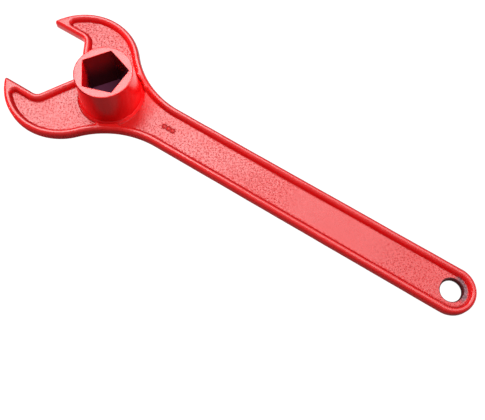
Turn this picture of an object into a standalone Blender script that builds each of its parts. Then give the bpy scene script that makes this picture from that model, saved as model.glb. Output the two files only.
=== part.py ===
"""Fire hydrant wrench: a cast jaw-and-handle lever with a pentagon socket barrel set through its head.

Metres, +Z up. The wrench lies on its flat back at z = 0 and points its socket barrel up. The handle runs
along +X and the jaws open towards -X, and the plan is symmetric about the X axis. The origin is the middle
of the footprint's length, so the barrel's axis stands at x = BARREL_X. Plan dimensions are measured from
that axis and are shifted by BARREL_X when a solid is placed.
"""

import math

import bmesh
import bpy

# Heights above the flat back
BODY_HEIGHT = 0.0080
FLOOR_HEIGHT = 0.0043
BARREL_HEIGHT = 0.0365

# Plan of the handle
HOLE_DISTANCE = 0.2800
HANDLE_HALF_WIDTH = 0.0163
END_RADIUS = 0.0165
HOLE_RADIUS = 0.0074
HOLE_LIP = 0.0007

# Plan of the head
HEAD_ARC_X = -0.0356
HEAD_ARC_Y = 0.0103
HEAD_ARC_RADIUS = 0.0447
NECK_ARC_RADIUS = 0.0700
JAW_OPENING = 0.0586
THROAT_APEX_X = -0.0292
THROAT_SLOPE_DEG = 60
THROAT_APEX_FILLET = 0.0040
THROAT_CORNER_FILLET = 0.0060
HORN_TIP_RADIUS = 0.0016

# Rim and the recessed panels that it frames
RIM_WIDTH = 0.0060
PANEL_DRAFT = 0.0034
PANEL_CORNER = 0.0012
PANEL_END_SHIFT = 0.0010
JAW_PANEL_END_X = -0.0630
JAW_PANEL_NECK_DEG = 233.0
HANDLE_PANEL_START_X = 0.0188
THROAT_END_STEP = 0.0010
EDGE_ROUND = 0.0009
EDGE_ROUND_STEPS = 1

# Socket barrel, its seat in the head and the bead that holds it
PENTAGON_RADIUS = 0.0181
PENTAGON_CORNER_ROUND = 0.0010
BARREL_TOP_RADIUS = 0.0210
BARREL_SHOULDER_RADIUS = 0.0228
BARREL_FOOT_RADIUS = 0.0231
BARREL_EDGE = 0.0008
BORE_RADIUS = 0.0235
SEAT_RADIUS = 0.0252
BEAD_OUTER_RADIUS = 0.0249
BEAD_HEIGHT = 0.0019
GAP = 0.0003

# Foundry pips on the handle's panel
PIP_DISTANCES = (0.0480, 0.0515, 0.0550)
PIP_RADIUS = 0.0012
PIP_HEIGHT = 0.0005
PIP_SIDES = 16

# Fineness of the facets, and how far a cutter runs past the face that it goes through
ARC_STEP_DEG = 5.0
SHORTEST_CHORD = 0.0006
ROUND_STEPS = 72
CORNER_STEPS = 3
OVERCUT = 0.0020
MERGE_DISTANCE = 0.00001
FLAT_WITHIN_DEG = 0.3
SHARP_FROM_DEG = 35

TIP_X = HEAD_ARC_X - math.sqrt(
    (HEAD_ARC_RADIUS - HORN_TIP_RADIUS) ** 2 - (JAW_OPENING / 2 + HORN_TIP_RADIUS - HEAD_ARC_Y) ** 2
)
BARREL_X = -(TIP_X - HORN_TIP_RADIUS + HOLE_DISTANCE + END_RADIUS) / 2

RED = (0.72, 0.012, 0.012, 1.0)
DEEP_RED = (0.62, 0.008, 0.010, 1.0)
CASTING_ROUGHNESS = 0.35
BARREL_ROUGHNESS = 0.20
BEAD_ROUGHNESS = 0.30


def clear_scene():
    for obj in list(bpy.data.objects):
        bpy.data.objects.remove(obj, do_unlink=True)


def make_collection(name):
    collection = bpy.data.collections.new(name)
    bpy.context.scene.collection.children.link(collection)
    return collection


def painted_iron(name, color, roughness):
    material = bpy.data.materials.new(name)
    material.use_nodes = True
    shader = material.node_tree.nodes["Principled BSDF"]
    shader.inputs["Base Color"].default_value = color
    shader.inputs["Roughness"].default_value = roughness
    shader.inputs["Metallic"].default_value = 0.0
    return material


def arc(center, radius, start_deg, end_deg):
    """Points along a circle, counter-clockwise when the end angle is the larger."""
    turn = abs(end_deg - start_deg)
    step_deg = max(ARC_STEP_DEG, math.degrees(SHORTEST_CHORD / radius))
    steps = max(2, round(turn / step_deg))
    points = []
    for step in range(steps + 1):
        angle = math.radians(start_deg + (end_deg - start_deg) * step / steps)
        points.append((center[0] + radius * math.cos(angle), center[1] + radius * math.sin(angle)))
    return points


def angle_deg(start, end):
    return math.degrees(math.atan2(end[1] - start[1], end[0] - start[0]))


def neck_center():
    """Centre of the concave arc that touches both the head's arc and the handle's edge."""
    y = HANDLE_HALF_WIDTH + NECK_ARC_RADIUS
    reach = HEAD_ARC_RADIUS + NECK_ARC_RADIUS
    return (HEAD_ARC_X + math.sqrt(reach**2 - (y - HEAD_ARC_Y) ** 2), y)


def throat_corner():
    """Where the sloping throat would meet the straight jaw flank."""
    half = JAW_OPENING / 2
    return (THROAT_APEX_X - half / math.tan(math.radians(THROAT_SLOPE_DEG)), half)


def corner_fillet_center():
    """Centre of the fillet in the mouth between the throat's slope and the jaw flank."""
    corner = throat_corner()
    tangent = THROAT_CORNER_FILLET * math.tan(math.radians(THROAT_SLOPE_DEG / 2))
    return (corner[0] - tangent, corner[1] - THROAT_CORNER_FILLET)


def mirrored(half):
    """The closed outline from its +Y half, whose ends lie on the X axis."""
    return half + [(x, -y) for x, y in reversed(half[1:-1])]


def wrench_outline():
    """Outer outline: throat, jaw flank, horn tip, head arc, neck arc, handle and round end."""
    half_slope = 90 - THROAT_SLOPE_DEG
    apex_center = (THROAT_APEX_X - THROAT_APEX_FILLET / math.cos(math.radians(half_slope)), 0.0)
    head = (HEAD_ARC_X, HEAD_ARC_Y)
    tip = (TIP_X, JAW_OPENING / 2 + HORN_TIP_RADIUS)
    neck = neck_center()
    to_tip = angle_deg(head, tip)
    to_neck = angle_deg(head, neck)
    half = arc(apex_center, THROAT_APEX_FILLET, 0, half_slope)
    half += arc(corner_fillet_center(), THROAT_CORNER_FILLET, half_slope, 90)
    half += arc(tip, HORN_TIP_RADIUS, 270, to_tip)
    half += arc(head, HEAD_ARC_RADIUS, to_tip, to_neck)[1:]
    half += arc(neck, NECK_ARC_RADIUS, to_neck + 180, 270)[1:]
    half += arc((HOLE_DISTANCE, 0.0), END_RADIUS, 90, 0)
    return mirrored(half)


def rounded_corner(before, corner, after):
    """A short curve in place of a corner: it leaves towards `before` and `after` at PANEL_CORNER."""
    ends = []
    for other in (before, after):
        length = math.dist(corner, other)
        ends.append([c + (o - c) * PANEL_CORNER / length for c, o in zip(corner, other)])
    middle = [(ends[0][i] + 2 * corner[i] + ends[1][i]) / 4 for i in range(2)]
    return [tuple(ends[0]), tuple(middle), tuple(ends[1])]


def handle_panel_outline():
    """Floor of the handle's recess, from the land beside the barrel to the arc around the hanging hole."""
    neck = neck_center()
    radius = NECK_ARC_RADIUS + RIM_WIDTH
    start_deg = math.degrees(math.acos((HANDLE_PANEL_START_X - neck[0]) / radius))
    edge = arc(neck, radius, -start_deg, -90)
    corner = rounded_corner((HANDLE_PANEL_START_X, 0.0), edge[0], edge[1])
    end_center = (HOLE_DISTANCE + PANEL_END_SHIFT, 0.0)
    end = arc(end_center, END_RADIUS - RIM_WIDTH, 90, 0)
    half = [(HANDLE_PANEL_START_X, 0.0)] + corner + edge[1:] + end
    return mirrored(half)


def jaw_panel_outline():
    """Floor of the +Y jaw's recess. Its inner side runs under the barrel, where the bore takes it away."""
    head = (HEAD_ARC_X, HEAD_ARC_Y)
    radius = HEAD_ARC_RADIUS - RIM_WIDTH
    neck = neck_center()
    neck_end = arc(neck, NECK_ARC_RADIUS + RIM_WIDTH, angle_deg(head, neck) + 180, JAW_PANEL_NECK_DEG)
    flank_y = JAW_OPENING / 2 + RIM_WIDTH
    horn_deg = math.degrees(math.acos((JAW_PANEL_END_X - head[0]) / radius))
    back = arc(head, radius, horn_deg, angle_deg(head, neck))
    horn = (JAW_PANEL_END_X + PANEL_CORNER, flank_y)
    flank = arc(corner_fillet_center(), THROAT_CORNER_FILLET + RIM_WIDTH, 90, 90 - THROAT_SLOPE_DEG)
    slope = math.radians(THROAT_SLOPE_DEG)
    throat_end = (THROAT_APEX_X + RIM_WIDTH / math.sin(slope) - THROAT_END_STEP * math.cos(slope),
                  THROAT_END_STEP * math.sin(slope))
    points = rounded_corner(flank[0], horn, back[0])
    points += rounded_corner(horn, back[0], back[1])
    points += back[1:] + neck_end[1:]
    points += [throat_end]
    points += list(reversed(flank))
    return points


def as_mesh(curve_object, collection):
    """The mesh of a curve object, with its caps welded on, as a new object of the same name."""
    bpy.context.view_layer.update()
    graph = bpy.context.evaluated_depsgraph_get()
    mesh = bpy.data.meshes.new_from_object(curve_object.evaluated_get(graph))
    welded = bmesh.new()
    welded.from_mesh(mesh)
    bmesh.ops.remove_doubles(welded, verts=welded.verts, dist=1e-6)
    bmesh.ops.recalc_face_normals(welded, faces=welded.faces)
    welded.to_mesh(mesh)
    welded.free()
    name = curve_object.name
    matrix = curve_object.matrix_world.copy()
    bpy.data.objects.remove(curve_object, do_unlink=True)
    solid = bpy.data.objects.new(name, mesh)
    solid.matrix_world = matrix
    collection.objects.link(solid)
    return solid


def counter_clockwise(outline):
    """The outline in the direction in which a curve's bevel widens it."""
    area = 0.0
    for (x1, y1), (x2, y2) in zip(outline, outline[1:] + outline[:1]):
        area += x1 * y2 - x2 * y1
    return outline if area > 0.0 else list(reversed(outline))


def flat_slab(name, outline, bottom, top, edge, rounded, collection):
    """A slab of this outline with edges of this width.

    Rounded edges lie inside the outline. Otherwise they are 45 degree slopes that widen the slab from the
    outline at its lower face.
    """
    curve = bpy.data.curves.new(name, "CURVE")
    curve.dimensions = "2D"
    curve.fill_mode = "BOTH"
    curve.extrude = (top - bottom) / 2 - edge
    curve.bevel_depth = edge
    curve.bevel_resolution = EDGE_ROUND_STEPS if rounded else 0
    curve.offset = -edge if rounded else 0.0
    spline = curve.splines.new("POLY")
    spline.points.add(len(outline) - 1)
    for point, (x, y) in zip(spline.points, counter_clockwise(outline)):
        point.co = (x, y, 0.0, 1.0)
    spline.use_cyclic_u = True
    slab = bpy.data.objects.new(name, curve)
    slab.location = (BARREL_X, 0.0, (bottom + top) / 2)
    collection.objects.link(slab)
    return as_mesh(slab, collection)


def turned_solid(name, profile, distance, collection):
    """A profile of (radius, height) points turned about the vertical axis at this distance along X."""
    closed = profile[0][0] > 0.0
    mesh = bpy.data.meshes.new(name)
    edges = [(i, i + 1) for i in range(len(profile) - 1)]
    if closed:
        edges.append((len(profile) - 1, 0))
    mesh.from_pydata([(radius, 0.0, height) for radius, height in profile], edges, [])
    turned = bpy.data.objects.new(name, mesh)
    turned.location = (BARREL_X + distance, 0.0, 0.0)
    collection.objects.link(turned)
    screw = turned.modifiers.new("turn", "SCREW")
    screw.steps = ROUND_STEPS
    screw.render_steps = ROUND_STEPS
    screw.use_merge_vertices = True
    screw.merge_threshold = 0.00001
    return turned


def apply_modifiers(solid):
    """Turns the object's evaluated shape into its own mesh."""
    bpy.context.view_layer.update()
    graph = bpy.context.evaluated_depsgraph_get()
    solid.data = bpy.data.meshes.new_from_object(solid.evaluated_get(graph))
    solid.modifiers.clear()


def merge_flat_faces(solid):
    """Joins the coplanar triangles that the cuts leave, so that each flat face is one face again."""
    mesh = bmesh.new()
    mesh.from_mesh(solid.data)
    bmesh.ops.remove_doubles(mesh, verts=mesh.verts, dist=MERGE_DISTANCE)
    bmesh.ops.dissolve_limit(
        mesh, angle_limit=math.radians(FLAT_WITHIN_DEG), verts=mesh.verts, edges=mesh.edges
    )
    bmesh.ops.triangulate(mesh, faces=mesh.faces)
    mesh.to_mesh(solid.data)
    mesh.free()


def boolean(solid, other, operation, solver):
    modifier = solid.modifiers.new(other.name, "BOOLEAN")
    modifier.operation = operation
    modifier.object = other
    modifier.solver = solver
    other.hide_render = True
    other.display_type = "WIRE"


def shade_round(solid):
    solid.data.shade_smooth()
    solid.data.set_sharp_from_angle(angle=math.radians(SHARP_FROM_DEG))


def make_wrench_casting(parts, cutters):
    casting = flat_slab("wrench_casting", wrench_outline(), 0.0, BODY_HEIGHT, EDGE_ROUND, True, parts)
    above = BODY_HEIGHT + 2 * PANEL_DRAFT + OVERCUT
    handle_panel = flat_slab(
        "handle_panel_cut", handle_panel_outline(), FLOOR_HEIGHT, above, PANEL_DRAFT, False, cutters
    )
    boolean(casting, handle_panel, "DIFFERENCE", "MANIFOLD")
    upper = jaw_panel_outline()
    lower = [(x, -y) for x, y in upper]
    for name, outline in (("upper_jaw_panel_cut", upper), ("lower_jaw_panel_cut", lower)):
        panel = flat_slab(name, outline, FLOOR_HEIGHT, above, PANEL_DRAFT, False, cutters)
        boolean(casting, panel, "DIFFERENCE", "MANIFOLD")
    bore = turned_solid("barrel_seat_cut", seat_profile(), 0.0, cutters)
    boolean(casting, bore, "DIFFERENCE", "MANIFOLD")
    hole = turned_solid("hanging_hole_cut", hole_profile(), HOLE_DISTANCE, cutters)
    boolean(casting, hole, "DIFFERENCE", "MANIFOLD")
    for number, distance in enumerate(PIP_DISTANCES, start=1):
        pip = make_pip(f"foundry_pip_{number}", distance, cutters)
        boolean(casting, pip, "UNION", "MANIFOLD")
    casting.data.materials.append(painted_iron("painted_casting", RED, CASTING_ROUGHNESS))
    apply_modifiers(casting)
    merge_flat_faces(casting)
    shade_round(casting)


def seat_profile():
    """Bore through the head, with a wider seat for the bead that starts just under the panel floor."""
    return [
        (0.0, BODY_HEIGHT + OVERCUT),
        (SEAT_RADIUS, BODY_HEIGHT + OVERCUT),
        (SEAT_RADIUS, FLOOR_HEIGHT - GAP),
        (BORE_RADIUS, FLOOR_HEIGHT - GAP),
        (BORE_RADIUS, -OVERCUT),
        (0.0, -OVERCUT),
    ]


def hole_profile():
    """Hanging hole, opened out by a small lip at the panel floor and at the back."""
    return [
        (0.0, BODY_HEIGHT),
        (HOLE_RADIUS + 2 * HOLE_LIP, BODY_HEIGHT),
        (HOLE_RADIUS + 2 * HOLE_LIP, FLOOR_HEIGHT + HOLE_LIP),
        (HOLE_RADIUS, FLOOR_HEIGHT - HOLE_LIP),
        (HOLE_RADIUS, HOLE_LIP),
        (HOLE_RADIUS + 2 * HOLE_LIP, -HOLE_LIP),
        (0.0, -HOLE_LIP),
    ]


def make_pip(name, distance, cutters):
    """A small raised dot on the panel floor, with draft, sunk in far enough to join it."""
    bpy.ops.mesh.primitive_cone_add(
        vertices=PIP_SIDES,
        radius1=PIP_RADIUS + PIP_HEIGHT,
        radius2=PIP_RADIUS - PIP_HEIGHT,
        depth=2 * PIP_HEIGHT,
        location=(BARREL_X + distance, 0.0, FLOOR_HEIGHT),
    )
    pip = bpy.context.active_object
    pip.name = name
    for collection in list(pip.users_collection):
        collection.objects.unlink(pip)
    cutters.objects.link(pip)
    return pip


def make_socket_barrel(parts, cutters):
    """A drafted round barrel whose straight foot fills the head's bore, with the pentagon right through."""
    arc_mid = 1 - math.sqrt(0.5)
    profile = [
        (0.0, BARREL_HEIGHT),
        (BARREL_TOP_RADIUS - BARREL_EDGE, BARREL_HEIGHT),
        (BARREL_TOP_RADIUS - BARREL_EDGE * arc_mid, BARREL_HEIGHT - BARREL_EDGE * arc_mid),
        (BARREL_TOP_RADIUS, BARREL_HEIGHT - BARREL_EDGE),
        (BARREL_SHOULDER_RADIUS, FLOOR_HEIGHT),
        (BARREL_FOOT_RADIUS, FLOOR_HEIGHT - 2 * GAP),
        (BARREL_FOOT_RADIUS, BARREL_EDGE),
        (BARREL_FOOT_RADIUS - BARREL_EDGE, 0.0),
        (0.0, 0.0),
    ]
    barrel = turned_solid("socket_barrel", profile, 0.0, parts)
    boolean(barrel, make_pentagon(cutters), "DIFFERENCE", "EXACT")
    barrel.data.materials.append(painted_iron("painted_socket", DEEP_RED, BARREL_ROUGHNESS))
    apply_modifiers(barrel)
    shade_round(barrel)


def make_pentagon(cutters):
    """Pentagon prism with one corner towards the jaws and one flat towards the handle."""
    bpy.ops.mesh.primitive_cylinder_add(
        vertices=5,
        radius=PENTAGON_RADIUS,
        depth=BARREL_HEIGHT + 2 * OVERCUT,
        location=(BARREL_X, 0.0, BARREL_HEIGHT / 2),
        rotation=(0.0, 0.0, math.radians(90)),
    )
    pentagon = bpy.context.active_object
    pentagon.name = "pentagon_cut"
    for collection in list(pentagon.users_collection):
        collection.objects.unlink(pentagon)
    cutters.objects.link(pentagon)
    upright = bmesh.new()
    upright.from_mesh(pentagon.data)
    edges = [edge for edge in upright.edges if abs(edge.verts[0].co.z - edge.verts[1].co.z) > OVERCUT]
    bmesh.ops.bevel(
        upright, geom=edges, offset=PENTAGON_CORNER_ROUND, segments=CORNER_STEPS, profile=0.5, affect="EDGES"
    )
    upright.to_mesh(pentagon.data)
    upright.free()
    return pentagon


def make_foot_bead(parts):
    """The ring bead in the corner between the barrel and the panel floor, a quarter ellipse in section."""
    inner = BARREL_FOOT_RADIUS + GAP
    width = BEAD_OUTER_RADIUS - inner
    profile = []
    for step in range(CORNER_STEPS + 1):
        angle = math.pi / 2 * step / CORNER_STEPS
        profile.append((inner + width * math.sin(angle), FLOOR_HEIGHT + BEAD_HEIGHT * math.cos(angle)))
    profile.append((inner, FLOOR_HEIGHT))
    bead = turned_solid("barrel_foot_bead", profile, 0.0, parts)
    bead.data.materials.append(painted_iron("painted_bead", RED, BEAD_ROUGHNESS))
    apply_modifiers(bead)
    shade_round(bead)


def main():
    clear_scene()
    parts = make_collection("fire_hydrant_wrench")
    cutters = make_collection("cutters")
    make_wrench_casting(parts, cutters)
    make_socket_barrel(parts, cutters)
    make_foot_bead(parts)


main()
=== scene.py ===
"""Looks of the fire hydrant wrench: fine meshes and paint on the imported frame, with floor, lights and camera.

Dimensions are in millimetres from the socket barrel's axis, with +X along the handle and +Z up from the back.
"""

import math

import bmesh
import bpy
from mathutils import Matrix, Vector, noise
from mathutils.geometry import delaunay_2d_cdt


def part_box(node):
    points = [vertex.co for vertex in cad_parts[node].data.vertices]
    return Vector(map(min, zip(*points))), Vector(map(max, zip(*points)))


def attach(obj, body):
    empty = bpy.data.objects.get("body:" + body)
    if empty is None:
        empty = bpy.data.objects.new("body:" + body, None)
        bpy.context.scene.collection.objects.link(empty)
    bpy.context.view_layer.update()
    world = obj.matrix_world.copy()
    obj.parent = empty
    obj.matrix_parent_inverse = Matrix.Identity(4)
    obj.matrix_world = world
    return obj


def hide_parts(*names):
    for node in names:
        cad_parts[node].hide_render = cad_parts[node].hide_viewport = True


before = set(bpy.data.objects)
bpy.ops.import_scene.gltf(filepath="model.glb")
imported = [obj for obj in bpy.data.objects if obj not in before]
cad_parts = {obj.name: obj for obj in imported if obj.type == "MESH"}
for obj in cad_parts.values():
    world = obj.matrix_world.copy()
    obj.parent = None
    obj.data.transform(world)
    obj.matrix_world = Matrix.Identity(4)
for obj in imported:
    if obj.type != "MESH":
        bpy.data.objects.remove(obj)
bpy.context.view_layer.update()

MM = 0.001
BARREL_LOW, BARREL_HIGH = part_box("socket_barrel")
CASTING_LOW, CASTING_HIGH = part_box("wrench_casting")
AXIS = Vector(((BARREL_LOW.x + BARREL_HIGH.x) / 2, (BARREL_LOW.y + BARREL_HIGH.y) / 2, CASTING_LOW.z))

# Plan of head and handle
CROWN = (CASTING_HIGH.z - CASTING_LOW.z) / MM
FLOOR = 4.3
HEAD = (-35.6, 10.3)
HEAD_RADIUS = 44.7
NECK_RADIUS = 70.0
HANDLE_HALF = 16.3
END_RADIUS = 16.5
HOLE_X = (CASTING_HIGH.x - AXIS.x) / MM - END_RADIUS
JAW_HALF = 29.3
THROAT_X = -29.2
THROAT_DEG = 60.0
APEX_FILLET = 4.0
CORNER_FILLET = 6.0
TIP_RADIUS = 1.6
TIP_RISE = JAW_HALF + TIP_RADIUS - HEAD[1]
TIP = (HEAD[0] - math.sqrt((HEAD_RADIUS - TIP_RADIUS) ** 2 - TIP_RISE**2), JAW_HALF + TIP_RADIUS)
NECK = (
    HEAD[0] + math.sqrt((HEAD_RADIUS + NECK_RADIUS) ** 2 - (HANDLE_HALF + NECK_RADIUS - HEAD[1]) ** 2),
    HANDLE_HALF + NECK_RADIUS,
)

# Steps round the arcs and along the straight sides of the outline
TIP_STEPS = 8
APEX_STEPS = 5
FILLET_STEPS = 8
THROAT_STEPS = 18
FLANK_STEPS = 16
HEAD_STEPS = 56
NECK_STEPS = 34
END_STEPS = 20
HANDLE_STEPS = 130

# Section of the rim, from the flat back round the outside, over the crown and down to the panel floor
BACK_ROUND = 1.6
SHOULDER_Z = 5.0
CROWN_INSET = 2.3
RIM_WIDTH = 6.0
SLOPE_WIDTH = 3.3
SLOPE_PULL = 0.55
BACK_RINGS = 5
SHOULDER_RINGS = 9
SLOPE_RINGS = 12

# Recessed panels
HORN_END_RADIUS = 1.7
PANEL_CORNER = 1.0
JAW_PANEL_CORNER = (4.6, 25.6)
THROAT_CORNER = (-24.9, 4.6)
HANDLE_PANEL_X = 18.8
PANEL_END_SHIFT = 1.0
CORNER_STEPS = 8
PANEL_BASE_STEPS = 10
PANEL_NECK_STEPS = 20
HORN_STEPS = 12
JAW_HEAD_STEPS = 46
JAW_NECK_STEPS = 10
THROAT_CORNER_STEPS = 6
JAW_SIDE_STEPS = 12
HORN_SIDE_STEPS = 8

# Foundry pips on the handle's panel
PIPS = (48.0, 51.5, 55.0)
PIP_RADIUS = 1.55
PIP_HEIGHT = 0.6
PIP_POWER = 1.5
PIP_RINGS = 5
PIP_SIDES = 14

# Socket barrel and the bead at its foot
BARREL_TOP = (BARREL_HIGH.z - AXIS.z) / MM
BARREL_SIDES = 320
BARREL_LEVELS = 24
BORE_LEVELS = 16
PENTAGON_RADIUS = 18.1
PENTAGON_ROUND = 1.1
PENTAGON_TURN = 72.0
HALF_TURN = PENTAGON_TURN / 2
MOUTH_ROUND = 0.35
MOUTH_STEPS = 4
TOP_EDGE = 0.8
TOP_EDGE_STEPS = 6
TOP_RADIUS = 21.0
FOOT_RADIUS = 22.9
FOOT_CHAMFER = 0.6
DRAFT_RUN_IN = 0.5
SEAT_RADIUS = 25.15
BEAD_BOTTOM = (22.3, 4.1)
BEAD_RADII = (22.6, SEAT_RADIUS - 0.05)
BEAD_EDGE = 4.25
BEAD_TOP = 6.3
BEAD_HOLLOW = 0.55
BEAD_HOLLOW_POWER = 1.8
BEAD_FULL = 0.45
BEAD_EDGE_GAP = 0.05
BEAD_STEPS = 12
BEAD_SIDES = 180

# (radius, height) sections of what is cut from the lever: the barrel's seat with its worn edge, and the hole
SEAT_SIDES = 240
SEAT_SECTION = (
    (0.0, 12.0),
    (26.2, 12.0),
    (26.0, 8.1),
    (25.6, 7.8),
    (25.3, 7.5),
    (SEAT_RADIUS, 7.1),
    (SEAT_RADIUS, 3.9),
    (23.4, 3.9),
    (23.4, -2.0),
    (0.0, -2.0),
)
HOLE_SIDES = 120
HOLE_SECTION = (
    (0.0, 6.0),
    (8.9, 6.0),
    (8.6, 4.55),
    (8.2, 4.2),
    (7.8, 3.8),
    (7.5, 3.2),
    (7.35, 2.4),
    (7.4, 1.4),
    (7.6, 0.8),
    (8.0, 0.3),
    (8.5, -0.2),
    (8.8, -1.0),
    (0.0, -1.0),
)

# Unevenness of the sand casting
WAVE_LENGTH = 17.0
WAVE_HEIGHT = 0.10
GRAIN_LENGTH = 3.6
GRAIN_HEIGHT = 0.025
FLOOR_GRAIN_LENGTH = 0.45 * GRAIN_LENGTH
FLOOR_GRAIN = 0.03
BARREL_WAVE = 0.05
BEAD_WAVE_LENGTH = 5.0
BEAD_WAVE = 0.12
DRIFT_SHIFTS = ((0.0, 0.0, 0.0), (9.3, -1.5, 7.9), (-17.0, 34.6, 5.2))
GRAIN_SHIFT = (31.0, 7.0, 3.0)
BARREL_SHIFT = (9.0, 4.0, 2.0)
LEVEL_GAP = 0.01
END_GAP = 0.1

# Meshing: grid of the floors, smallest gaps between points, welding distance in metres, sharpest smooth angle
FLOOR_GRID = 1.3
REPEAT_GAP = 1e-4
MERGE_GAP = 1e-6
WELD_METRES = 2e-7
SHARP_DEG = 38.0

# Colours, with how strongly paint and the socket's wall reflect
WHITE = (1.0, 1.0, 1.0, 1.0)
RED = (0.69, 0.0025, 0.0035, 1.0)
DARK_RED = (0.30, 0.002, 0.003, 1.0)
LIGHT_RED = (0.86, 0.020, 0.018, 1.0)
WORN = (0.30, 0.11, 0.14, 1.0)
WORN_DARK = (0.12, 0.03, 0.04, 1.0)
# SOCKET_SHADE: painted shade, deep in the socket and on the barrel's rolled top edge
SOCKET_SHADE = (0.055, 0.002, 0.003, 1.0)
# BARE_AND_SHADE: bare metal painted near black as the shade in the hanging hole
BARE_AND_SHADE = (0.08, 0.010, 0.012, 1.0)
PAINT_SHEEN = 1.0
SOCKET_SHEEN = 0.25

# Noises as (size in millimetres, detail, roughness), dots as (cell in millimetres, core, rim)
CAST_GRAINS = (1.15, 1.5, 0.55)
CAST_FINE = (0.65, 1.0, 0.5)
CAST_CLOUD = (26.0, 3.0, 0.5)
CAST_PATCHES = (11.0, 2.0, 0.5)
CAST_LUMPS = (7.0, 1.0, 0.5)
REFLECTION_EDGE = (8.0, 2.0, 0.5)
WORN_GRAIN = (1.6, 2.0, 0.5)
WORN_EDGE = (2.2, 3.0, 0.5)
BARREL_FINE = (1.1, 2.0, 0.6)
BARREL_CLOUD = (18.0, 2.0, 0.5)
BARREL_LUMPS = (9.0, 2.0, 0.5)
BEAD_FINE = (1.2, 2.0, 0.6)
BEAD_CLOUD = (8.0, 2.0, 0.5)
PITS = (2.2, 0.10, 0.30)
SPECKS = (1.4, 0.10, 0.36)

# Places in millimetres between which a look comes or goes
PANEL_LEVELS = (FLOOR + 0.3, FLOOR + 1.6)
SMOOTH_X = 192.0
SMOOTH_REACH = (22.0, 48.0)
HEAD_X = (0.0, 40.0)
FAR_JAW_Y = (10.0, 26.0)
# The ring of painted shade round each pip
PIP_CREASE = 1.15 * PIP_RADIUS
PIP_CREASE_REACH = (0.25, 0.75)
PIP_LEVELS = (3.4, 4.0)
# The barrel's painted reflection beside its foot
REFLECTION_RAGGED = 8.0
REFLECTION_REACH = (30.0, 46.0)
REFLECTION_EAST = (4.0, 14.0)
WORN_RAGGED = 1.6
WORN_REACH = (11.4, 12.0)
WORN_LEVELS = (4.6, 5.6)
WALL_REACH = (7.9, 8.4)
LIP_WIDTH = 0.8
LIP_NORTH = (-1.0, 6.0)
BARREL_RIM_LEVELS = (BARREL_TOP - 1.0, BARREL_TOP - 0.6)
BORE_REACH = (18.6, 19.0)
# Painted light on the socket's upper walls
BORE_LIT_LEVELS = (10.0, 33.0)
BORE_LIT_X = (-12.0, 6.0)
BEAD_SHADE_LEVELS = (4.2, 5.2)
GLOW_REACH = (24.0, 31.0)
SHADE_REACH = (22.0, 26.0)
MIRRORED_Y = (-30.0, 60.0)

# The rubbed crescent beside the hole: its middle's bearing, and how far either side it holds and fades out
WORN_BEARING = 38
WORN_SECTOR = (42, 72)

# The middle of a noise's range, and curvatures that bring in painted highlights on edges and shade in creases
MIDDLE = (0.35, 0.65)
CAST_EDGE_HIGHLIGHT = (0.515, 0.56)
CAST_CREASE_SHADE = (0.485, 0.44)
BARREL_EDGE_HIGHLIGHT = (0.53, 0.58)

# Components of the surface's direction between which a look comes or goes
CAST_LEVEL = (0.60, 0.90)
CAST_UP = (0.2, 0.8)
# CAST_NORTH_SHADE brings in painted shade on faces turned to +Y
CAST_NORTH_SHADE = (0.22, 0.65)
BARREL_UP = (0.3, 0.7)
# By direction: painted light in the socket, painted shade on the rolled edge, less sheen on the flanks
BORE_NORTH = (-0.3, 0.4)
ROLLED_UP = (0.80, 0.96)
ROLLED_EAST = (-0.1, 0.35)
FLANK_EAST = (0.55, 0.85)

# Roughness at the two ends of a cloud, and bumps as (strength, height in millimetres)
CAST_ROUGHNESS = (0.24, 0.30)
BARREL_ROUGHNESS = (0.19, 0.24)
BEAD_ROUGHNESS = (0.26, 0.36)
CAST_RELIEF = (0.45, 0.25)
CAST_LUMP_RELIEF = (0.25, 0.3)
BARREL_RELIEF = (0.5, 0.25)
BARREL_LUMP_RELIEF = (0.4, 0.3)
BEAD_RELIEF = (0.4, 0.2)

# Floor, sky, lights and camera. Each light: name, place, size, radiance, seen in reflections, barrel only
FLOOR_GREY = (0.12, 0.12, 0.12, 1.0)
FLOOR_SHADE = (0.20, 0.05, 0.11, 1.0)
FLOOR_GLOW = 1.0
FLOOR_ROUGHNESS = 0.9
FLOOR_GAP = 0.05
FLOOR_HALF_METRES = 30.0
SKY = 0.36
BELOW = 0.7
SKY_RANGES = ((-0.05, 0.9, 0.1 * SKY, SKY), (-0.9, -0.6, BELOW, 0.0))
LIGHT_AIM = (60.0, 0.0, 0.0)
LIGHTS = (
    ("main_softbox", (-470.0, 390.0, 1000.0), (760.0, 660.0), 4.9, True, False),
    ("far_softbox", (320.0, 390.0, 1000.0), (820.0, 660.0), 1.9, True, False),
    ("right_softbox", (600.0, 520.0, 75.0), (700.0, 130.0), 7.5, False, False),
    ("left_softbox", (-752.0, -274.0, 75.0), (700.0, 130.0), 30.0, False, False),
    ("front_softbox", (60.0, -500.0, 60.0), (700.0, 130.0), 0.8, False, False),
    ("handle_fill", (240.0, -60.0, 600.0), (300.0, 300.0), 3.8, False, False),
    ("barrel_right_card", (600.0, 520.0, 75.0), (700.0, 130.0), 9.5, False, True),
    ("barrel_top_card", (110.0, 380.0, 470.0), (160.0, 160.0), 45.0, False, True),
)
CAMERA_PLACE = (205.2, -160.1, 409.2)
CAMERA_LOOK = (-0.1713, 0.3110, -0.9349)
CAMERA_UP = (-0.4969, 0.7921, 0.3545)
CAMERA_LENS = 46.0
CAMERA_CLIP = 0.01


def mirrored(half):
    """The closed ring from its +Y half, whose ends lie on the X axis."""
    return half + [(x, -y) for x, y in reversed(half[1:-1])]


def ring_arc(center, radius, start_deg, end_deg, steps):
    points = []
    for step in range(steps + 1):
        angle = math.radians(start_deg + (end_deg - start_deg) * step / steps)
        points.append((center[0] + radius * math.cos(angle), center[1] + radius * math.sin(angle)))
    return points


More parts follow.
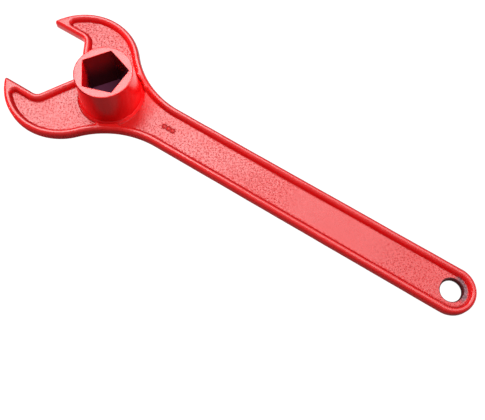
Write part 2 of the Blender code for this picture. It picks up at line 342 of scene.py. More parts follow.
def join(points, more, steps):
    """Both runs of points with this many straight steps between them."""
    start, end = points[-1], more[0]
    between = [
        (start[0] + (end[0] - start[0]) * i / steps, start[1] + (end[1] - start[1]) * i / steps)
        for i in range(1, steps)
    ]
    return points + between + more


def bearing(start, end):
    return math.degrees(math.atan2(end[1] - start[1], end[0] - start[0]))


def mouth_corner():
    """Centre of the fillet between the throat's slope and the jaw flank."""
    x = THROAT_X - JAW_HALF / math.tan(math.radians(THROAT_DEG))
    return (x - CORNER_FILLET * math.tan(math.radians(THROAT_DEG / 2)), JAW_HALF - CORNER_FILLET)


def outline_ring(inset):
    """The wrench's outline moved inwards. Every ring has the same number of points."""
    slope = 90 - THROAT_DEG
    apex = (THROAT_X - APEX_FILLET / math.cos(math.radians(slope)), 0.0)
    to_neck = bearing(HEAD, NECK)
    if inset < TIP_RADIUS:
        tip = ring_arc(TIP, TIP_RADIUS - inset, 270, bearing(HEAD, TIP), TIP_STEPS)
    else:
        y = JAW_HALF + inset
        x = HEAD[0] - math.sqrt((HEAD_RADIUS - inset) ** 2 - (y - HEAD[1]) ** 2)
        tip = [(x, y)] * (TIP_STEPS + 1)
    half = ring_arc(apex, APEX_FILLET + inset, 0, slope, APEX_STEPS)
    fillet = ring_arc(mouth_corner(), CORNER_FILLET + inset, slope, 90, FILLET_STEPS)
    half = join(half, fillet, THROAT_STEPS)
    half = join(half, tip, FLANK_STEPS)
    half += ring_arc(HEAD, HEAD_RADIUS - inset, bearing(HEAD, half[-1]), to_neck, HEAD_STEPS)[1:]
    half += ring_arc(NECK, NECK_RADIUS + inset, to_neck + 180, 270, NECK_STEPS)[1:]
    end = ring_arc((HOLE_X, 0.0), END_RADIUS - inset, 90, 0, END_STEPS)
    return mirrored(join(half, end, HANDLE_STEPS))


def handle_panel_ring(rise):
    """Edge of the handle's panel, from its floor at rise 0 to the crown of the rim at rise 1."""
    out = SLOPE_WIDTH * rise
    reach = NECK_RADIUS + RIM_WIDTH
    x = HANDLE_PANEL_X + PANEL_CORNER
    corner = (x, NECK[1] - math.sqrt((reach + PANEL_CORNER) ** 2 - (x - NECK[0]) ** 2))
    half = [(HANDLE_PANEL_X - out, 0.0)]
    turn = ring_arc(corner, PANEL_CORNER + out, 180, bearing(corner, NECK), CORNER_STEPS)
    half = join(half, turn, PANEL_BASE_STEPS)
    half += ring_arc(NECK, reach - out, bearing(NECK, corner) + 360, 270, PANEL_NECK_STEPS)[1:]
    center = (HOLE_X + PANEL_END_SHIFT * (1 - rise), 0.0)
    end = ring_arc(center, END_RADIUS - RIM_WIDTH + out, 90, 0, END_STEPS)
    return mirrored(join(half, end, HANDLE_STEPS))


def jaw_panel_ring(rise):
    """Edge of the +Y jaw's panel. Its inner side runs under the barrel."""
    out = SLOPE_WIDTH * rise
    inner = HEAD_RADIUS - RIM_WIDTH
    y = JAW_HALF + RIM_WIDTH + HORN_END_RADIUS
    horn = (HEAD[0] - math.sqrt((inner - HORN_END_RADIUS) ** 2 - (y - HEAD[1]) ** 2), y)
    neck_corner, throat_corner, turn = jaw_panel_corners()
    slope = 90 - THROAT_DEG
    to_neck = bearing(HEAD, NECK)
    to_corner = bearing(NECK, neck_corner) + 360
    ring = ring_arc(horn, HORN_END_RADIUS + out, 270, bearing(HEAD, horn), HORN_STEPS)
    ring += ring_arc(HEAD, inner + out, bearing(HEAD, horn), to_neck, JAW_HEAD_STEPS)[1:]
    ring += ring_arc(NECK, NECK_RADIUS + RIM_WIDTH - out, to_neck + 180, to_corner, JAW_NECK_STEPS)[1:]
    ring += ring_arc(neck_corner, PANEL_CORNER + out, bearing(neck_corner, NECK), turn, CORNER_STEPS)[1:]
    throat = ring_arc(throat_corner, PANEL_CORNER + out, turn, slope - 180, THROAT_CORNER_STEPS)
    ring = join(ring, throat, JAW_SIDE_STEPS)
    mouth = ring_arc(mouth_corner(), CORNER_FILLET + RIM_WIDTH - out, slope, 90, FILLET_STEPS)
    ring = join(ring, mouth, JAW_SIDE_STEPS)
    return join(ring, [ring[0]], HORN_SIDE_STEPS)[:-1]


def jaw_panel_corners():
    """Centres of the panel's two corners beside the barrel, and the bearing of the straight side's normal."""
    start, end = Vector(JAW_PANEL_CORNER), Vector(THROAT_CORNER)
    along = (end - start).normalized()
    inwards = Vector((along.y, -along.x))
    base = start + inwards * PANEL_CORNER - Vector(NECK)
    reach = NECK_RADIUS + RIM_WIDTH + PANEL_CORNER
    half = base.dot(along)
    root = math.sqrt(half**2 - base.length_squared + reach**2)
    neck_corner = Vector(NECK) + base + along * (-half - root)
    if (neck_corner - start).length > (end - start).length:
        neck_corner = Vector(NECK) + base + along * (-half + root)
    slope = math.radians(THROAT_DEG)
    throat_point = Vector((THROAT_X + RIM_WIDTH / math.sin(slope), 0.0))
    throat_inwards = Vector((math.sin(slope), math.cos(slope)))
    offset = start + inwards * PANEL_CORNER
    step = (PANEL_CORNER - (offset - throat_point).dot(throat_inwards)) / along.dot(throat_inwards)
    throat_corner = offset + along * step
    return tuple(neck_corner), tuple(throat_corner), math.degrees(math.atan2(-inwards.y, -inwards.x))


def slope_profile():
    """(rise, height) pairs up the inner side of the rim, with a fillet at its foot and a round shoulder."""
    pairs = []
    for step in range(SLOPE_RINGS + 1):
        t = step / SLOPE_RINGS
        out = 3 * SLOPE_PULL * t * (1 - t) + SLOPE_WIDTH * t**3
        pairs.append((out / SLOPE_WIDTH, FLOOR + (CROWN - FLOOR) * (3 * t**2 - 2 * t**3)))
    return pairs


def shoulder_profile():
    """(inset, height) pairs from the flat back round the outer side of the rim to its crown."""
    pairs = []
    for step in range(BACK_RINGS + 1):
        angle = math.pi / 2 * step / BACK_RINGS
        pairs.append((BACK_ROUND * (1 - math.sin(angle)), BACK_ROUND * (1 - math.cos(angle))))
    for step in range(SHOULDER_RINGS + 1):
        angle = math.pi / 2 * step / SHOULDER_RINGS
        height = SHOULDER_Z + (CROWN - SHOULDER_Z) * math.sin(angle)
        pairs.append((CROWN_INSET * (1 - math.cos(angle)), height))
    return pairs


def to_frame(x, y, z):
    return AXIS + Vector((x, y, z)) * MM


def add_ring(mesh, points, z):
    return [mesh.verts.new(to_frame(x, y, z)) for x, y in points]


def add_strip(mesh, low, high):
    """Quads between two closed rings of the same length."""
    count = len(low)
    for i in range(count):
        j = (i + 1) % count
        mesh.faces.new((low[i], low[j], high[j], high[i]))


def inside(point, polygon):
    x, y = point
    odd = False
    for (x1, y1), (x2, y2) in zip(polygon, polygon[1:] + polygon[:1]):
        if (y1 > y) != (y2 > y) and x < x1 + (y - y1) / (y2 - y1) * (x2 - x1):
            odd = not odd
    return odd


def clearance(point, polygon):
    return min((point[0] - x) ** 2 + (point[1] - y) ** 2 for x, y in polygon)


def floor_points(ring, extra):
    """Staggered grid points that keep clear of the ring and of the extra points."""
    xs = [x for x, _ in ring]
    ys = [y for _, y in ring]
    points = []
    rows = int((max(ys) - min(ys)) / FLOOR_GRID)
    columns = int((max(xs) - min(xs)) / FLOOR_GRID)
    near = (0.5 * FLOOR_GRID) ** 2
    for row in range(rows + 1):
        y = min(ys) + row * FLOOR_GRID
        for column in range(columns + 1):
            x = min(xs) + (column + 0.5 * (row % 2)) * FLOOR_GRID
            if not inside((x, y), ring) or clearance((x, y), ring) < near:
                continue
            if extra and clearance((x, y), extra) < near:
                continue
            points.append((x, y))
    return points


def counter_clockwise(ring):
    area = sum(x1 * y2 - x2 * y1 for (x1, y1), (x2, y2) in zip(ring, ring[1:] + ring[:1]))
    return ring if area > 0 else ring[::-1]


def fill(mesh, outer, holes, inner_points, height):
    """Triangles between the outer ring and the holes. height(x, y) gives each point's level."""
    rings = [counter_clockwise(ring) for ring in [outer] + holes]
    places, faces = [], []
    for ring in rings:
        faces.append(list(range(len(places), len(places) + len(ring))))
        places += [Vector(p) for p in ring]
    places += [Vector(p) for p in inner_points]
    points, _, triangles, _, _, owners = delaunay_2d_cdt(places, [], faces, 0, MERGE_GAP)
    used = {}
    for triangle, owner in zip(triangles, owners):
        if 0 not in owner or len(owner) > 1:
            continue
        for index in triangle:
            if index not in used:
                x, y = points[index]
                used[index] = mesh.verts.new(to_frame(x, y, height(x, y)))
        mesh.faces.new([used[index] for index in triangle])


def pip_height(x, y):
    """Level of the handle's panel floor, with the foundry pips standing on it."""
    for distance in PIPS:
        gap = math.hypot(x - distance, y) / PIP_RADIUS
        if gap < 1.0:
            return FLOOR + PIP_HEIGHT * math.cos(gap * math.pi / 2) ** PIP_POWER
    return FLOOR


def pip_points():
    points = []
    for distance in PIPS:
        points.append((distance, 0.0))
        for ring in range(1, PIP_RINGS + 1):
            radius = PIP_RADIUS * ring / PIP_RINGS
            points += ring_arc((distance, 0.0), radius, 0, 360, PIP_SIDES)[:-1]
    return points


def drift(at):
    """Smooth noise in each of three directions, the same on every run."""
    return Vector([noise.noise(at + Vector(shift)) for shift in DRIFT_SHIFTS])


def roughen(mesh):
    """The unevenness of a sand casting, none of it on the flat back: long soft waves and a fine grain. All of
    it is let down by the height of a wave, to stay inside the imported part."""
    for vertex in mesh.verts:
        at = (vertex.co - AXIS) / MM
        if at.z < LEVEL_GAP:
            continue
        hold = min(1.0, at.z / BACK_ROUND)
        wave = drift(at / WAVE_LENGTH)
        grain = drift(at / GRAIN_LENGTH + Vector(GRAIN_SHIFT))
        move = wave * WAVE_HEIGHT + grain * GRAIN_HEIGHT
        if at.z < FLOOR + PIP_HEIGHT + LEVEL_GAP:
            move.z += noise.noise(at / FLOOR_GRAIN_LENGTH) * FLOOR_GRAIN
        move.z -= WAVE_HEIGHT
        vertex.co += move * hold * MM


def as_object(mesh, name):
    data = bpy.data.meshes.new(name)
    mesh.to_mesh(data)
    mesh.free()
    piece = bpy.data.objects.new(name, data)
    bpy.context.scene.collection.objects.link(piece)
    return piece


def finish_mesh(mesh, name):
    """The bmesh as an object, with doubles welded, slivers gone and faces pointing out."""
    bmesh.ops.remove_doubles(mesh, verts=mesh.verts, dist=WELD_METRES)
    bmesh.ops.dissolve_degenerate(mesh, edges=mesh.edges, dist=WELD_METRES)
    bmesh.ops.recalc_face_normals(mesh, faces=mesh.faces)
    bmesh.ops.triangulate(mesh, faces=[f for f in mesh.faces if len(f.verts) > 4])
    return as_object(mesh, name)


def lever_mesh():
    """The whole lever without its bore and its hole."""
    mesh = bmesh.new()
    profile = shoulder_profile()
    rings = [add_ring(mesh, outline_ring(inset), z) for inset, z in profile]
    for low, high in zip(rings, rings[1:]):
        add_strip(mesh, low, high)
    fill(mesh, unique(outline_ring(profile[0][0])), [], [], lambda x, y: 0.0)
    crown_rings = []
    slopes = slope_profile()
    for flip, ring_at in ((1, handle_panel_ring), (1, jaw_panel_ring), (-1, jaw_panel_ring)):
        levels = [[(x, flip * y) for x, y in ring_at(rise)] for rise, _ in slopes]
        loops = [add_ring(mesh, points, z) for points, (_, z) in zip(levels, slopes)]
        for low, high in zip(loops, loops[1:]):
            add_strip(mesh, low, high)
        crown_rings.append(levels[-1])
        extra = pip_points() if ring_at is handle_panel_ring else []
        inner = floor_points(levels[0], extra) + extra
        fill(mesh, levels[0], [], inner, pip_height)
    fill(mesh, unique(outline_ring(CROWN_INSET)), crown_rings, [], lambda x, y: CROWN)
    bmesh.ops.remove_doubles(mesh, verts=mesh.verts, dist=WELD_METRES)
    roughen(mesh)
    return finish_mesh(mesh, "lever")


def unique(ring):
    """The ring without the repeats that a collapsed arc leaves."""
    kept = []
    for x, y in ring:
        if not kept or math.hypot(x - kept[-1][0], y - kept[-1][1]) > REPEAT_GAP:
            kept.append((x, y))
    return kept


def turned(name, profile, x, steps):
    """A closed solid from (radius, height) points turned about the upright axis at x."""
    mesh = bmesh.new()
    loops = []
    for radius, z in profile:
        if radius > 0.0:
            loops.append(add_ring(mesh, ring_arc((x, 0.0), radius, 0, 360, steps)[:-1], z))
        else:
            loops.append([mesh.verts.new(to_frame(x, 0.0, z))] * steps)
    if profile[0][0] > 0.0:
        loops.append(loops[0])
    for low, high in zip(loops, loops[1:]):
        for i in range(steps):
            corners = [low[i], low[(i + 1) % steps], high[(i + 1) % steps], high[i]]
            corners = [c for k, c in enumerate(corners) if c not in corners[:k]]
            if len(corners) > 2:
                mesh.faces.new(corners)
    return finish_mesh(mesh, name)


def cut(piece, cutter):
    """Takes the cutter's shape out of the piece, and removes the cutter."""
    modifier = piece.modifiers.new("cut", "BOOLEAN")
    modifier.operation = "DIFFERENCE"
    modifier.object = cutter
    modifier.solver = "MANIFOLD"
    bpy.context.view_layer.update()
    graph = bpy.context.evaluated_depsgraph_get()
    piece.data = bpy.data.meshes.new_from_object(piece.evaluated_get(graph))
    piece.modifiers.clear()
    bpy.data.objects.remove(cutter, do_unlink=True)


def smooth(piece):
    piece.data.shade_smooth()
    piece.data.set_sharp_from_angle(angle=math.radians(SHARP_DEG))


def keep_in(piece, low, high):
    """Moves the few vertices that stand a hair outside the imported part's box back onto it."""
    for vertex in piece.data.vertices:
        vertex.co = [min(max(value, least), most) for value, least, most in zip(vertex.co, low, high)]


def make_lever():
    lever = lever_mesh()
    cut(lever, turned("seat_cutter", SEAT_SECTION, 0.0, SEAT_SIDES))
    cut(lever, turned("hole_cutter", HOLE_SECTION, HOLE_X, HOLE_SIDES))
    smooth(lever)
    return lever


def pentagon_radius(angle_deg, grow):
    """Distance of the pentagon's wall at this bearing. One of its rounded corners points to the jaws."""
    cosine = math.cos(math.radians(HALF_TURN))
    corner = PENTAGON_RADIUS - PENTAGON_ROUND / cosine
    off = abs((angle_deg - 180 + HALF_TURN) % PENTAGON_TURN - HALF_TURN)
    radius = PENTAGON_RADIUS * cosine / math.cos(math.radians(HALF_TURN - off))
    side = corner * math.sin(math.radians(off))
    if side < PENTAGON_ROUND:
        rounded = corner * math.cos(math.radians(off)) + math.sqrt(PENTAGON_ROUND**2 - side**2)
        radius = min(radius, rounded)
    return radius + grow


def pentagon_ring(grow):
    points = []
    for step in range(BARREL_SIDES):
        angle = 360 * step / BARREL_SIDES
        radius = pentagon_radius(angle, grow)
        points.append((radius * math.cos(math.radians(angle)), radius * math.sin(math.radians(angle))))
    return points


def barrel_side():
    """(radius, height) pairs up the barrel's outside: foot chamfer, drafted side and eased top edge."""
    pairs = [(FOOT_RADIUS - FOOT_CHAMFER, 0.0), (FOOT_RADIUS, FOOT_CHAMFER)]
    edge = BARREL_TOP - TOP_EDGE
    for step in range(BARREL_LEVELS + 1):
        z = FLOOR - DRAFT_RUN_IN + (edge - FLOOR + DRAFT_RUN_IN) * step / BARREL_LEVELS
        share = (z - FLOOR) / (edge - FLOOR)
        pairs.append((FOOT_RADIUS + (TOP_RADIUS - FOOT_RADIUS) * max(0.0, share), z))
    for step in range(1, TOP_EDGE_STEPS + 1):
        angle = math.pi / 2 * step / TOP_EDGE_STEPS
        radius = TOP_RADIUS - TOP_EDGE * (1 - math.cos(angle))
        pairs.append((radius, BARREL_TOP - TOP_EDGE * (1 - math.sin(angle))))
    return pairs


def make_barrel():
    """The drafted barrel with the pentagon through it, eased at its mouth."""
    mesh = bmesh.new()
    loops = []
    for radius, z in barrel_side():
        loops.append(add_ring(mesh, ring_arc((0.0, 0.0), radius, 0, 360, BARREL_SIDES)[:-1], z))
    for step in range(MOUTH_STEPS + 1):
        angle = math.pi / 2 * step / MOUTH_STEPS
        grow = MOUTH_ROUND * (1 - math.sin(angle))
        loops.append(add_ring(mesh, pentagon_ring(grow), BARREL_TOP - MOUTH_ROUND * (1 - math.cos(angle))))
    for step in range(1, BORE_LEVELS + 1):
        z = (BARREL_TOP - MOUTH_ROUND) * (1 - step / BORE_LEVELS) + MOUTH_ROUND * step / BORE_LEVELS
        loops.append(add_ring(mesh, pentagon_ring(0.0), z))
    loops.append(add_ring(mesh, pentagon_ring(MOUTH_ROUND), 0.0))
    loops.append(loops[0])
    for low, high in zip(loops, loops[1:]):
        add_strip(mesh, low, high)
    for vertex in mesh.verts:
        at = (vertex.co - AXIS) / MM
        if FOOT_CHAMFER + END_GAP < at.z < BARREL_TOP - END_GAP:
            wave = drift(at / WAVE_LENGTH + Vector(BARREL_SHIFT))
            vertex.co += Vector((wave.x, wave.y, 0.0)) * BARREL_WAVE * MM
    barrel = finish_mesh(mesh, "barrel")
    smooth(barrel)
    return barrel


def make_bead():
    """The bead round the barrel's foot: a soft lip against the barrel that runs out thinly over the seat."""
    inner, outer = BEAD_RADII
    section = [BEAD_BOTTOM]
    for step in range(BEAD_STEPS + 1):
        t = step / BEAD_STEPS
        rise = BEAD_HOLLOW * t**BEAD_HOLLOW_POWER + BEAD_FULL * math.sin(t * math.pi / 2)
        section.append((outer - (outer - inner) * t, BEAD_EDGE + (BEAD_TOP - BEAD_EDGE) * rise))
    bead = turned("foot_bead", section, 0.0, BEAD_SIDES)
    for vertex in bead.data.vertices:
        at = (vertex.co - AXIS) / MM
        if at.z > BEAD_EDGE + BEAD_EDGE_GAP:
            vertex.co.z += noise.noise(at / BEAD_WAVE_LENGTH) * BEAD_WAVE * MM
    smooth(bead)
    return bead


def set_range(node, numbers):
    for name, number in zip(("From Min", "From Max", "To Min", "To Max"), numbers):
        node.inputs[name].default_value = number


class Nodes:
    """Short helpers for building one material's node tree."""

    def __init__(self, name):
        self.material = bpy.data.materials.new(name)
        self.material.use_nodes = True
        self.tree = self.material.node_tree
        self.shader = self.tree.nodes["Principled BSDF"]
        self.place = self.tree.nodes.new("ShaderNodeTexCoord").outputs["Object"]
        self.surface = self.tree.nodes.new("ShaderNodeNewGeometry").outputs
        self.at = self.split(self.place)
        self.facing = self.split(self.surface["Normal"])

    def link(self, source, socket):
        if hasattr(source, "is_output"):
            self.tree.links.new(source, socket)
        else:
            socket.default_value = source

    def shade(self, name, source):
        self.link(source, self.shader.inputs[name])

    def split(self, vector):
        node = self.tree.nodes.new("ShaderNodeSeparateXYZ")
        self.link(vector, node.inputs[0])
        return node.outputs

    def math(self, operation, a, b=0.0):
        node = self.tree.nodes.new("ShaderNodeMath")
        node.operation = operation
        self.link(a, node.inputs[0])
        self.link(b, node.inputs[1])
        return node.outputs[0]

    def plus(self, a, b):
        return self.math("ADD", a, b)

    def minus(self, a, b):
        return self.math("SUBTRACT", a, b)

    def times(self, a, b):
        return self.math("MULTIPLY", a, b)

    def larger(self, a, b):
        return self.math("MAXIMUM", a, b)

    def distance(self, a, b):
        return self.math("ABSOLUTE", self.minus(a, b))

    def without(self, mask, share=1.0):
        """1 where the mask is 0, less by the share where it is 1."""
        return self.minus(1.0, self.times(mask, share))

    def polar(self, x_mm=0.0):
        """East, north and radius from the upright axis this far along the handle."""
        east = self.minus(self.at["X"], AXIS.x + x_mm * MM)
        north = self.minus(self.at["Y"], AXIS.y)
        square = self.plus(self.times(east, east), self.times(north, north))
        return east, north, self.math("SQRT", square)

    def noise(self, size_mm, detail, roughness):
        """Noise value whose features are about this many millimetres across."""
        node = self.tree.nodes.new("ShaderNodeTexNoise")
        self.link(self.place, node.inputs["Vector"])
        node.inputs["Scale"].default_value = 1.0 / (size_mm * MM)
        node.inputs["Detail"].default_value = detail
        node.inputs["Roughness"].default_value = roughness
        return node.outputs["Fac"]

    def dots(self, cell_mm, core, rim):
        """Scattered round dots, 1 at the core and 0 beyond the rim, both as shares of the cell's size."""
        node = self.tree.nodes.new("ShaderNodeTexVoronoi")
        node.voronoi_dimensions = "2D"
        self.link(self.place, node.inputs["Vector"])
        node.inputs["Scale"].default_value = 1.0 / (cell_mm * MM)
        return self.ramp(node.outputs["Distance"], core, rim, 1.0, 0.0)

    def ramp(self, value, low, high, to_low=0.0, to_high=1.0):
        """Value mapped from low..high to to_low..to_high, clamped, with soft ends."""
        node = self.tree.nodes.new("ShaderNodeMapRange")
        node.interpolation_type = "SMOOTHSTEP"
        self.link(value, node.inputs["Value"])
        set_range(node, (low, high, to_low, to_high))
        return node.outputs["Result"]

    def reach(self, value, low_mm, high_mm, to_low=0.0, to_high=1.0):
        """Ramp over a length, between two numbers of millimetres."""
        return self.ramp(value, low_mm * MM, high_mm * MM, to_low, to_high)

    def along(self, letter, low_mm, high_mm, to_low=0.0, to_high=1.0):
        """Ramp along X, Y or Z, between two places in millimetres from the barrel's axis or the back."""
        start = AXIS["XYZ".index(letter)]
        return self.ramp(self.at[letter], start + low_mm * MM, start + high_mm * MM, to_low, to_high)

    def mix(self, share, a, b):
        node = self.tree.nodes.new("ShaderNodeMix")
        node.data_type = "RGBA"
        self.link(share, node.inputs["Factor"])
        self.link(a, node.inputs["A"])
        self.link(b, node.inputs["B"])
        return node.outputs["Result"]

    def coats(self, color, coats):
        """The colour under (mask, share, tint) coats, each laid over the ones before it."""
        for mask, share, tint in coats:
            color = self.mix(self.times(mask, share), color, tint)
        return color

    def bump(self, height, strength, distance_mm, normal=None):
        node = self.tree.nodes.new("ShaderNodeBump")
        node.inputs["Strength"].default_value = strength
        node.inputs["Distance"].default_value = distance_mm * MM
        self.link(height, node.inputs["Height"])
        if normal is not None:
            self.link(normal, node.inputs["Normal"])
        return node.outputs["Normal"]


def sandy_floor(n):
    """Strength of the sand-cast grain: full on the panel floors, more on the +Y jaw, weak half way along the
    handle."""
    low = n.along("Z", *PANEL_LEVELS, 1.0, 0.15)
    low = n.times(low, n.ramp(n.facing["Z"], *CAST_LEVEL, 0.12, 1.0))
    off = n.distance(n.at["X"], AXIS.x + SMOOTH_X * MM)
    low = n.times(low, n.reach(off, *SMOOTH_REACH, 0.2, 1.0))
    low = n.times(low, n.along("X", *HEAD_X, 0.9, 1.0))
    return n.times(low, n.along("Y", *FAR_JAW_Y, 1.0, 1.7))


def pip_crease_shade(n):
    """Mask of the creases round the foundry pips, where painted shade darkens the paint and dims its sheen."""
    crease_shade = 0.0
    for distance in PIPS:
        off = n.distance(n.polar(distance)[2], PIP_CREASE * MM)
        crease_shade = n.larger(crease_shade, n.reach(off, *PIP_CREASE_REACH, 1.0, 0.0))
    return n.times(crease_shade, n.along("Z", *PIP_LEVELS))


def painted_barrel_reflection(n):
    """Mask of the handle's side of the barrel's foot, with a painted reflection of the red barrel: lighter red,
    less sheen and fewer specks, where the barrel hides the softbox.
    """
    east, _, radius = n.polar()
    ragged = n.plus(radius, n.times(n.noise(*REFLECTION_EDGE), REFLECTION_RAGGED * MM))
    return n.times(n.reach(ragged, *REFLECTION_REACH, 1.0, 0.0), n.reach(east, *REFLECTION_EAST))


def worn_crescent(n):
    """Mask of the panel floor that a hook or a chain has rubbed, beside the hanging hole."""
    east, north, radius = n.polar(HOLE_X)
    ragged = n.plus(radius, n.times(n.noise(*WORN_EDGE), WORN_RAGGED * MM))
    ring = n.reach(ragged, *WORN_REACH, 1.0, 0.0)
    side = n.distance(n.math("ARCTAN2", north, east), math.radians(WORN_BEARING))
    sector = n.ramp(side, *[math.radians(turn) for turn in WORN_SECTOR], 1.0, 0.0)
    return n.times(n.times(ring, sector), n.along("Z", *WORN_LEVELS, 1.0, 0.0))


def hole_wall(n):
    """Mask of the hanging hole's wall, where the paint has gone, and part of its lip. Both are painted near
    black as the shade in the hole, reaching further onto the lip on the +Y side.
    """
    _, north, radius = n.polar(HOLE_X)
    lip = n.times(n.reach(north, *LIP_NORTH), LIP_WIDTH * MM)
    return n.reach(n.minus(radius, lip), *WALL_REACH, 1.0, 0.0)


def cast_paint():
    """Glossy red paint over a sand-cast surface. Pits and specks break up the sheen on the floors, and the
    hanging hole is worn to metal. Painted light lies over it: highlights on the edges; shade in the creases,
    round the pips, on faces turned to +Y and in the hanging hole; the barrel's reflection beside its foot; and
    less sheen on steep faces."""
    n = Nodes("painted_casting")
    grains, cloud = n.noise(*CAST_GRAINS), n.noise(*CAST_CLOUD)
    curve = n.surface["Pointiness"]
    low, barrel_reflection, crease_shade = sandy_floor(n), painted_barrel_reflection(n), pip_crease_shade(n)
    worn, bare_and_shade = worn_crescent(n), hole_wall(n)
    pits = n.times(n.dots(*PITS), n.ramp(n.noise(*CAST_PATCHES), 0.30, 0.60, 0.55, 0.9))
    specks = n.times(n.dots(*SPECKS), n.ramp(grains, 0.40, 0.60, 0.35, 1.0))
    spots = n.times(n.larger(pits, n.times(specks, 0.75)), low)
    spots = n.times(spots, n.without(barrel_reflection, 0.5))
    color = n.mix(n.ramp(cloud, *MIDDLE, 0.0, 0.10), RED, LIGHT_RED)
    worn_color = n.mix(n.ramp(n.noise(*WORN_GRAIN), *MIDDLE), WORN_DARK, WORN)
    coats = (
        (spots, 0.5, DARK_RED),
        # painted highlight on sharp edges
        (n.ramp(curve, *CAST_EDGE_HIGHLIGHT), 0.15, LIGHT_RED),
        # painted shade in the creases
        (n.ramp(curve, *CAST_CREASE_SHADE), 0.40, DARK_RED),
        # painted shade on faces turned to +Y
        (n.ramp(n.facing["Y"], *CAST_NORTH_SHADE), 0.75, DARK_RED),
        # painted shade round the pips
        (crease_shade, 0.8, DARK_RED),
        # the barrel's painted reflection beside its foot
        (barrel_reflection, 0.5, LIGHT_RED),
        (worn, 1.0, worn_color),
        # bare metal in the hanging hole, painted near black as its shade
        (bare_and_shade, 1.0, BARE_AND_SHADE),
    )
    n.shade("Base Color", n.coats(color, coats))
    n.shade("Roughness", n.plus(n.ramp(cloud, *MIDDLE, *CAST_ROUGHNESS), n.times(spots, 0.35)))
    sink = n.plus(n.times(grains, -1.0), n.times(n.noise(*CAST_FINE), -0.5))
    normal = n.bump(n.times(sink, low), *CAST_RELIEF)
    n.shade("Normal", n.bump(n.noise(*CAST_LUMPS), *CAST_LUMP_RELIEF, normal))
    sheen = PAINT_SHEEN
    for mask, share in ((spots, 0.6), (barrel_reflection, 0.72), (crease_shade, 0.85), (worn, 0.35), (bare_and_shade, 0.75)):
        sheen = n.times(sheen, n.without(mask, share))
    # less sheen on steep faces: painted dimming of their reflections
    n.shade("Specular IOR Level", n.times(sheen, n.ramp(n.facing["Z"], *CAST_UP, 0.6, 1.0)))
    return n.material


def barrel_paint():
    """The same paint over a smooth barrel, faintly speckled on its rim. Painted shade makes it dull deep in
    the socket and dark there, less so where painted light falls on its upper walls, and dark on the rolled top
    edge's -X side; painted highlights lie on its edges, and its flanks that do not face +X have less sheen.
    """
    n = Nodes("painted_socket")
    fine, cloud = n.noise(*BARREL_FINE), n.noise(*BARREL_CLOUD)
    side, height = n.facing["X"], n.facing["Z"]
    top = n.along("Z", *BARREL_RIM_LEVELS)
    speckle = n.times(n.ramp(fine, 0.60, 0.74), top)
    bore = n.reach(n.polar()[2], *BORE_REACH, 1.0, 0.0)
    bore = n.times(bore, n.ramp(height, *BARREL_UP, 1.0, 0.0))
    # painted light on the socket's upper walls, most on the -X side
    lit = n.times(n.along("Z", *BORE_LIT_LEVELS), n.ramp(n.facing["Y"], *BORE_NORTH, 0.45, 1.0))
    lit = n.times(lit, n.along("X", *BORE_LIT_X, 1.0, 0.3))
    # painted shade on the rolled top edge's -X side
    rolled_edge_shade = n.times(n.ramp(height, *ROLLED_UP, 1.0, 0.0), n.ramp(side, *ROLLED_EAST, 1.0, 0.0))
    rolled_edge_shade = n.times(rolled_edge_shade, top)
    coats = (
        (speckle, 0.5, DARK_RED),
        # painted shade deep in the socket, less where the painted light falls
        (n.times(bore, n.without(lit)), 1.0, SOCKET_SHADE),
        # painted shade on the rolled top edge
        (rolled_edge_shade, 0.9, SOCKET_SHADE),
        # painted highlight on sharp edges
        (n.ramp(n.surface["Pointiness"], *BARREL_EDGE_HIGHLIGHT), 0.25, LIGHT_RED),
    )
    n.shade("Base Color", n.coats(RED, coats))
    n.shade("Roughness", n.ramp(cloud, *MIDDLE, *BARREL_ROUGHNESS))
    relief = n.times(fine, n.plus(n.times(top, 0.8), 0.2))
    normal = n.bump(n.times(relief, n.without(bore)), *BARREL_RELIEF)
    n.shade("Normal", n.bump(n.noise(*BARREL_LUMPS), *BARREL_LUMP_RELIEF, normal))
    # painted shade: less sheen in the socket, on the rolled edge and on flanks that do not face +X
    flank = n.times(n.ramp(height, *BARREL_UP, 0.5, 0.0), n.ramp(side, *FLANK_EAST, 1.0, 0.0))
    dull = n.larger(n.larger(bore, rolled_edge_shade), flank)
    n.shade("Specular IOR Level", n.ramp(dull, 0.0, 1.0, PAINT_SHEEN, SOCKET_SHEEN))
    return n.material


def bead_paint():
    """The same paint on the bead, finely speckled, with painted shade darkening it low down where it runs out.
    """
    n = Nodes("painted_bead")
    fine = n.noise(*BEAD_FINE)
    # painted shade on the bead's low part
    low = n.along("Z", *BEAD_SHADE_LEVELS, 1.0, 0.0)
    shade = n.larger(n.times(n.ramp(fine, 0.58, 0.75), 0.3), n.times(low, 0.6))
    n.shade("Base Color", n.mix(shade, RED, DARK_RED))
    n.shade("Roughness", n.ramp(n.noise(*BEAD_CLOUD), 0.3, 0.7, *BEAD_ROUGHNESS))
    n.shade("Normal", n.bump(fine, *BEAD_RELIEF))
    return n.material


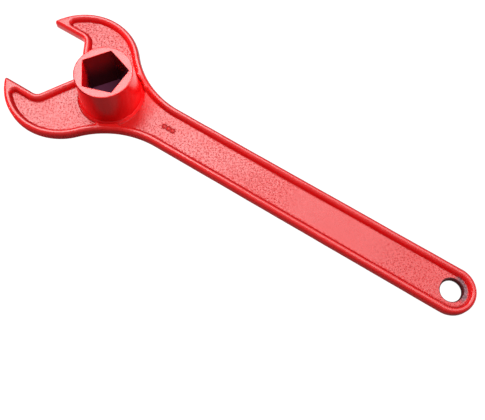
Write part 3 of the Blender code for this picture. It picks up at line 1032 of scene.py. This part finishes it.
def floor_material():
    """Matt paper that glows white for the camera and in the reflections of its +Y side, except in the shade
    under the barrel. It is clear from below."""
    n = Nodes("studio_floor")
    _, north, radius = n.polar()
    glow = n.reach(radius, *GLOW_REACH, 0.0, FLOOR_GLOW)
    ray = n.tree.nodes.new("ShaderNodeLightPath").outputs
    seen = n.plus(ray["Is Camera Ray"], n.times(n.reach(north, *MIRRORED_Y), ray["Is Glossy Ray"]))
    n.shade("Base Color", n.mix(n.reach(radius, *SHADE_REACH, 1.0, 0.0), FLOOR_GREY, FLOOR_SHADE))
    n.shade("Roughness", FLOOR_ROUGHNESS)
    n.shade("Specular IOR Level", 0.0)
    n.shade("Emission Color", WHITE)
    n.shade("Emission Strength", n.times(glow, seen))
    clear = n.tree.nodes.new("ShaderNodeBsdfTransparent")
    choose = n.tree.nodes.new("ShaderNodeMixShader")
    n.link(n.surface["Backfacing"], choose.inputs[0])
    n.link(n.shader.outputs[0], choose.inputs[1])
    n.link(clear.outputs[0], choose.inputs[2])
    n.link(choose.outputs[0], n.tree.nodes["Material Output"].inputs["Surface"])
    return n.material


def make_stage():
    """The studio floor, a hair under the wrench's back. It casts no light on diffuse surfaces."""
    mesh = bmesh.new()
    bmesh.ops.create_grid(mesh, x_segments=2, y_segments=2, size=FLOOR_HALF_METRES)
    floor = as_object(mesh, "studio_floor")
    floor.location = (0.0, 0.0, CASTING_LOW.z - FLOOR_GAP * MM)
    floor.visible_diffuse = False
    floor.data.materials.append(floor_material())


def add_light(name, place, size, radiance, mirrored, only):
    """A soft rectangular panel facing the wrench. It lights the collection only, or everything if None."""
    data = bpy.data.lights.new(name, "AREA")
    data.shape = "RECTANGLE"
    data.size, data.size_y = size[0] * MM, size[1] * MM
    data.energy = radiance * math.pi * data.size * data.size_y
    light = bpy.data.objects.new(name, data)
    light.location = AXIS + Vector(place) * MM
    light.rotation_euler = (Vector(LIGHT_AIM) - Vector(place)).to_track_quat("-Z", "Y").to_euler()
    bpy.context.scene.collection.objects.link(light)
    light.visible_glossy = mirrored
    if only is not None:
        light.light_linking.receiver_collection = only


def make_world():
    """A dim sky, white where the camera sees it, with a glow straight below that lights the wrench's back."""
    world = bpy.data.worlds.new("studio")
    world.use_nodes = True
    bpy.context.scene.world = world
    nodes, links = world.node_tree.nodes, world.node_tree.links
    split = nodes.new("ShaderNodeSeparateXYZ")
    links.new(nodes.new("ShaderNodeTexCoord").outputs["Generated"], split.inputs[0])
    strength = nodes.new("ShaderNodeLightPath").outputs["Is Camera Ray"]
    for numbers in SKY_RANGES:
        ramp = nodes.new("ShaderNodeMapRange")
        set_range(ramp, numbers)
        links.new(split.outputs["Z"], ramp.inputs["Value"])
        larger = nodes.new("ShaderNodeMath")
        larger.operation = "MAXIMUM"
        links.new(strength, larger.inputs[0])
        links.new(ramp.outputs["Result"], larger.inputs[1])
        strength = larger.outputs[0]
    links.new(strength, nodes["Background"].inputs["Strength"])
    nodes["Background"].inputs["Color"].default_value = WHITE


def make_camera():
    """The photo's camera, as fitted to the outline of the wrench."""
    look, up = Vector(CAMERA_LOOK).normalized(), Vector(CAMERA_UP)
    right = look.cross(up).normalized()
    up = right.cross(look)
    data = bpy.data.cameras.new("camera")
    data.lens = CAMERA_LENS
    data.clip_start = CAMERA_CLIP
    camera = bpy.data.objects.new("camera", data)
    place = AXIS + Vector(CAMERA_PLACE) * MM
    turn = Matrix((right, up, -look)).transposed().to_4x4()
    camera.matrix_world = Matrix.Translation(place) @ turn
    bpy.context.scene.collection.objects.link(camera)
    bpy.context.scene.camera = camera


def main():
    barrel_parts = bpy.data.collections.new("barrel_parts")
    for piece, node, slot, material in (
        (make_lever(), "wrench_casting", "painted_casting", cast_paint()),
        (make_barrel(), "socket_barrel", "painted_socket", barrel_paint()),
        (make_bead(), "barrel_foot_bead", "painted_bead", bead_paint()),
    ):
        keep_in(piece, *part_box(node))
        if piece.name != "lever":
            barrel_parts.objects.link(piece)
        piece.data.materials.clear()
        piece.data.materials.append(material)
        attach(piece, "root")
        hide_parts(node)
    make_stage()
    make_world()
    make_camera()
    for *setup, barrel_only in LIGHTS:
        add_light(*setup, barrel_parts if barrel_only else None)
    bpy.context.scene.view_settings.view_transform = "Standard"


main()
